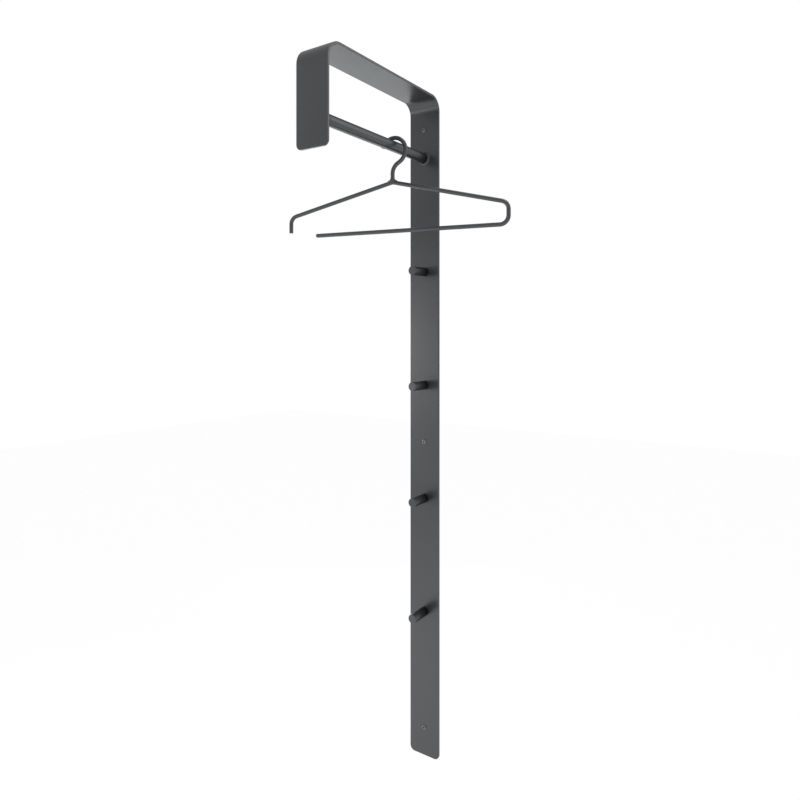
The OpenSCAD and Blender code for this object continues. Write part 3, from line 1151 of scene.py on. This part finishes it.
def add_world(strength):
    """Soft light all round, which the camera sees as plain white."""
    world = bpy.data.worlds.new("studio")
    bpy.context.scene.world = world
    world.use_nodes = True
    tree = world.node_tree
    soft = tree.nodes["Background"]
    white = tree.nodes.new("ShaderNodeBackground")
    for node, power in ((soft, strength), (white, 1.0)):
        node.inputs["Color"].default_value = (1, 1, 1, 1)
        node.inputs["Strength"].default_value = power
    seen = tree.nodes.new("ShaderNodeLightPath").outputs["Is Camera Ray"]
    shown = white.outputs["Background"]
    mix_shaders(tree, seen, soft.outputs["Background"], shown, "World Output")


def add_softbox(name, place, size, power, tint):
    """A rectangular area lamp that points at the rack."""
    lamp = bpy.data.lights.new(name, "AREA")
    lamp.shape = "RECTANGLE"
    lamp.size, lamp.size_y = size
    lamp.energy = power
    lamp.color = tint
    holder = bpy.data.objects.new(name, lamp)
    holder.location = place
    holder.visible_camera = False
    holder.rotation_mode = "QUATERNION"
    holder.rotation_quaternion = (Vector(AIM) - Vector(place)).to_track_quat("-Z", "Y")
    bpy.context.scene.collection.objects.link(holder)


def add_camera(stage):
    """The camera, level and turned to the left."""
    lens = bpy.data.cameras.new("camera")
    lens.lens = stage.lens
    lens.sensor_width = SENSOR_WIDTH
    lens.shift_y = stage.shift
    camera = bpy.data.objects.new("camera", lens)
    camera.location = stage.place
    camera.rotation_euler = (QUARTER, 0, stage.heading)
    bpy.context.scene.collection.objects.link(camera)
    bpy.context.scene.camera = camera


class RACK_OT_stage(bpy.types.Operator):
    """Sets up the floor, the soft light, the white surroundings and the camera"""

    bl_idname = "rack.stage"
    bl_label = "Stage"

    def execute(self, context):
        stage = context.scene.rack_stage
        bm = bmesh.new()
        drop = Matrix.Translation((0, 0, BAR_LOW.z - stage.floor_drop))
        bmesh.ops.create_grid(bm, x_segments=1, y_segments=1, size=FLOOR_REACH, matrix=drop)
        floor = new_object("floor", bm)
        floor.data.materials.append(white_material("pale floor"))
        add_world(stage.world_strength)
        for name, (place, size, tint) in SOFTBOXES.items():
            power = getattr(stage, name + "_power")
            add_softbox(name + " softbox", place, size, power, tint)
        add_camera(stage)
        context.scene.view_settings.view_transform = "Standard"
        return {"FINISHED"}


OPERATORS = (
    RACK_OT_stage,
    RACK_OT_finishes,
    RACK_OT_bent_bar,
    RACK_OT_rail,
    RACK_OT_pegs,
    RACK_OT_peg_screws,
    RACK_OT_wall_screws,
    RACK_OT_wall_plugs,
    RACK_OT_hanger_frame,
    RACK_OT_hanger_hook,
    RACK_OT_hanger_weld,
)


class RACK_PT_panel(bpy.types.Panel):
    """Buttons and sizes of the coat rack"""

    bl_idname = "RACK_PT_panel"
    bl_label = "Coat rack"
    bl_space_type = "VIEW_3D"
    bl_region_type = "UI"
    bl_category = "Coat rack"

    def draw(self, context):
        layout = self.layout
        for operator in OPERATORS:
            layout.operator(operator.bl_idname)
        for name, group in SETTINGS.items():
            box = layout.box()
            box.label(text=group.__doc__)
            for field in group.__annotations__:
                box.prop(getattr(context.scene, name), field)


def register():
    """Registers the settings, the operators and the panel."""
    for name, group in SETTINGS.items():
        bpy.utils.register_class(group)
        setattr(bpy.types.Scene, name, PointerProperty(type=group))
    for operator in OPERATORS:
        bpy.utils.register_class(operator)
    bpy.utils.register_class(RACK_PT_panel)


def unregister():
    """Takes them away again."""
    bpy.utils.unregister_class(RACK_PT_panel)
    for operator in reversed(OPERATORS):
        bpy.utils.unregister_class(operator)
    for name, group in SETTINGS.items():
        delattr(bpy.types.Scene, name)
        bpy.utils.unregister_class(group)


def main():
    """Builds the coat rack and its stage."""
    register()
    for operator in OPERATORS:
        group, name = operator.bl_idname.split(".")
        getattr(getattr(bpy.ops, group), name)()


if __name__ == "__main__":
    main()
